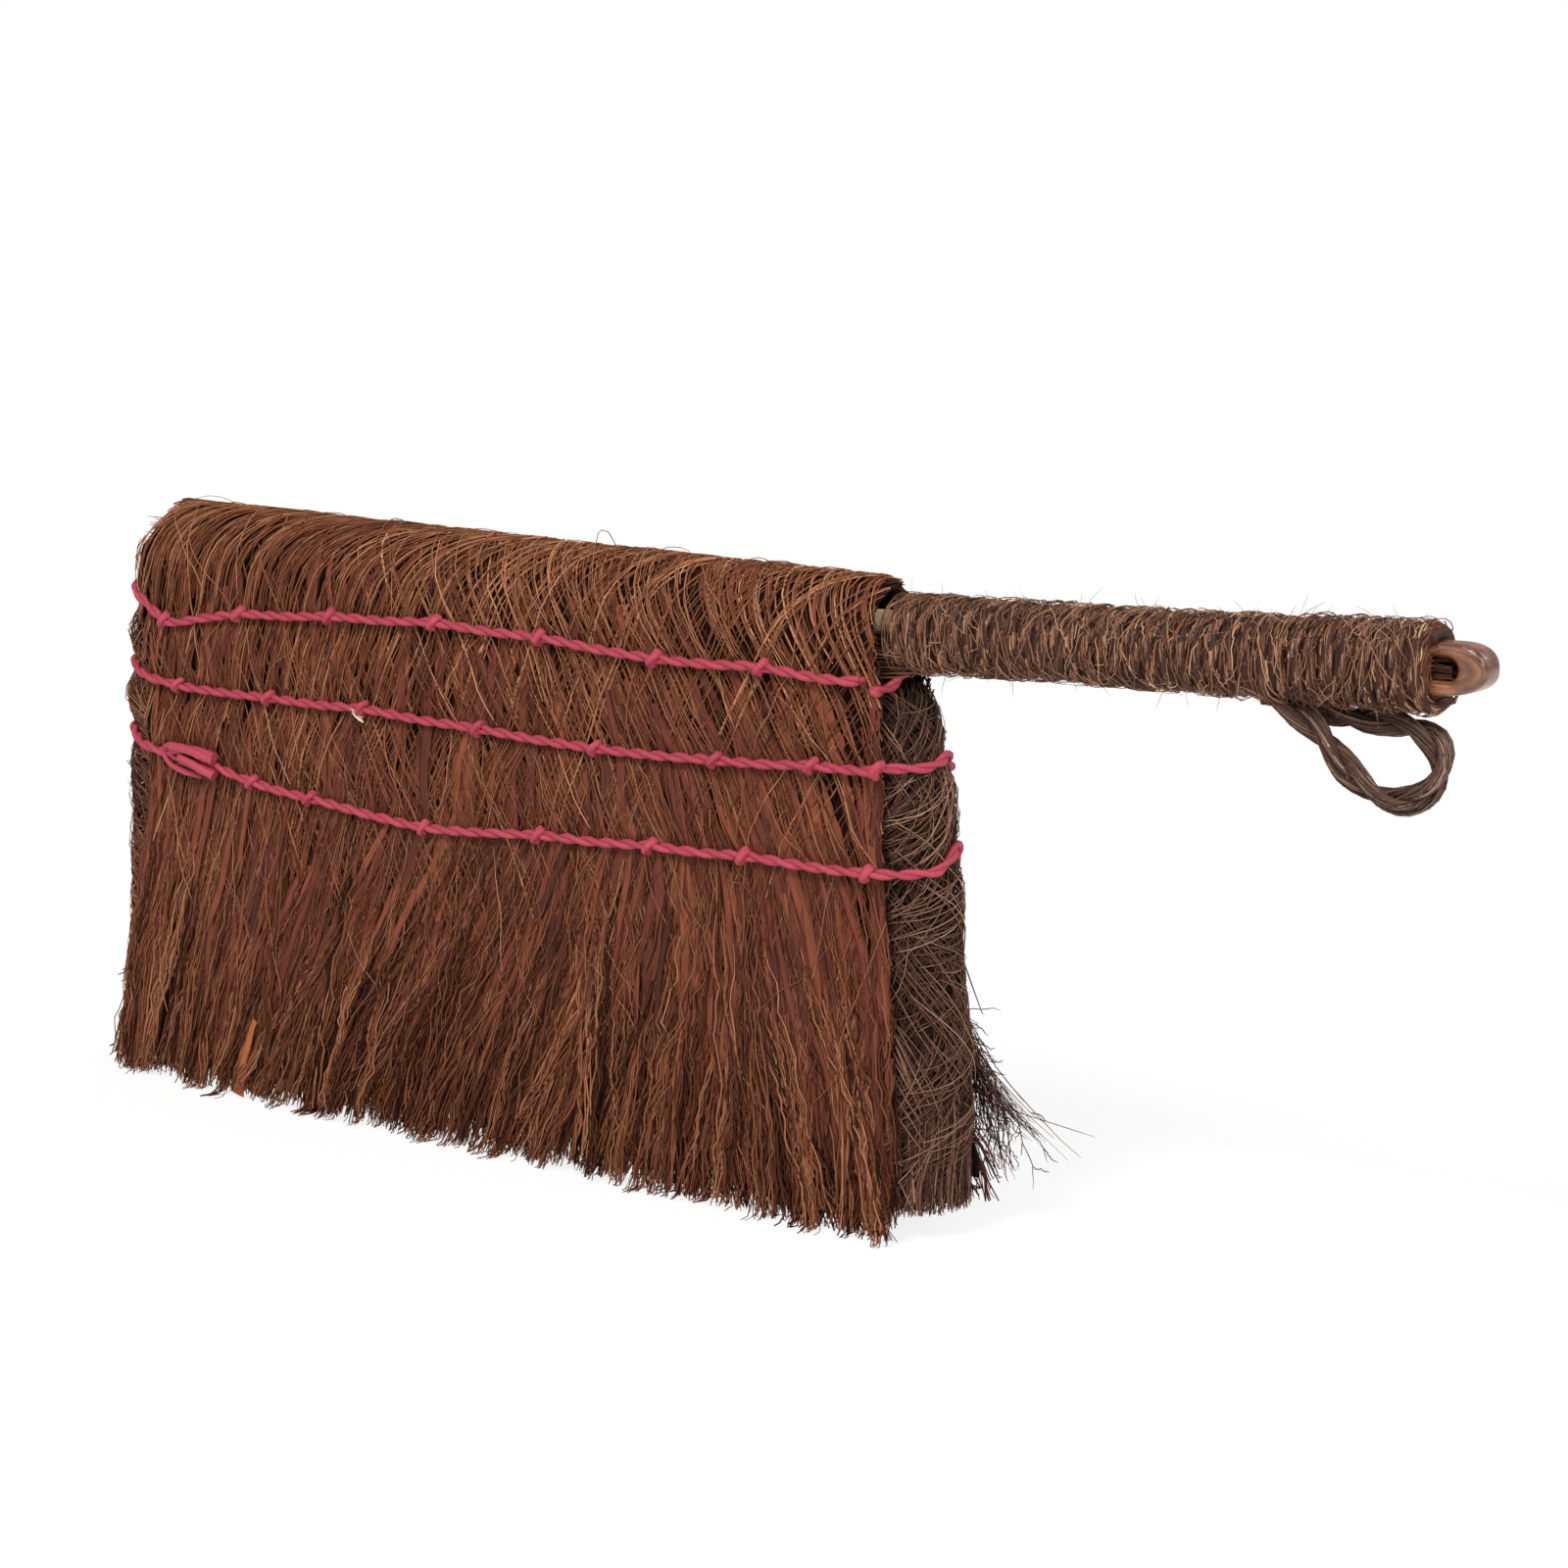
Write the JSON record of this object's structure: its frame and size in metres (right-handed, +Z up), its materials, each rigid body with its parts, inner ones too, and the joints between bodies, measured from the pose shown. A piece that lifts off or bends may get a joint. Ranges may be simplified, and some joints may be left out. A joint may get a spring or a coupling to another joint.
{
  "type": "hand brush",
  "caption": "Hand brush of folded palm-fibre sheath, stitched in rows with pink twine over a cane, with a rope-bound handle that ends in a bent eye and a rope loop to hang it by.",
  "frame": {"origin": "middle of the bristle tips, on the surface that the brush stands on", "axes": "+X along the handle towards its free end, -Y out of the front, +Z up from the bristle tips to the fold"},
  "size_m": [0.4224, 0.0427, 0.1618],
  "materials": {
    "red_sheath": "dry matte red-brown palm fibre",
    "dark_sheath": "dry matte dark brown palm fibre",
    "fibre_fill": "dry matte brown palm fibre",
    "cane": "pale split cane, reddish glossy skin at the bend",
    "palm_rope": "fuzzy matte palm-fibre rope",
    "loop_rope": "matte two-ply palm-fibre rope",
    "pink_twine": "dull pink two-ply twine"
  },
  "bodies": {
    "brush": {"outer_sheath": "red_sheath", "rear_ply": "dark_sheath", "pad_wrap_sheath": "dark_sheath", "front_bat": "fibre_fill", "back_bat": "fibre_fill", "fold_roll": "fibre_fill", "core_cane": "cane", "handle_padding": "dark_sheath", "handle_wrap": "palm_rope", "front_twine_upper": "pink_twine", "front_twine_middle": "pink_twine", "front_twine_lower": "pink_twine", "back_twine_upper": "pink_twine", "back_twine_middle": "pink_twine", "back_twine_lower": "pink_twine", "twine_tie_off": "pink_twine"},
    "loop": {"hang_loop": "loop_rope"}
  },
  "joints": [
    {"name": "loop_swing", "type": "hinge", "parent": "brush", "child": "loop", "pos_m": [0.24, 0, 0.131], "axis": [1, 0, 0], "range_deg": [-75, 75]}
  ]
}
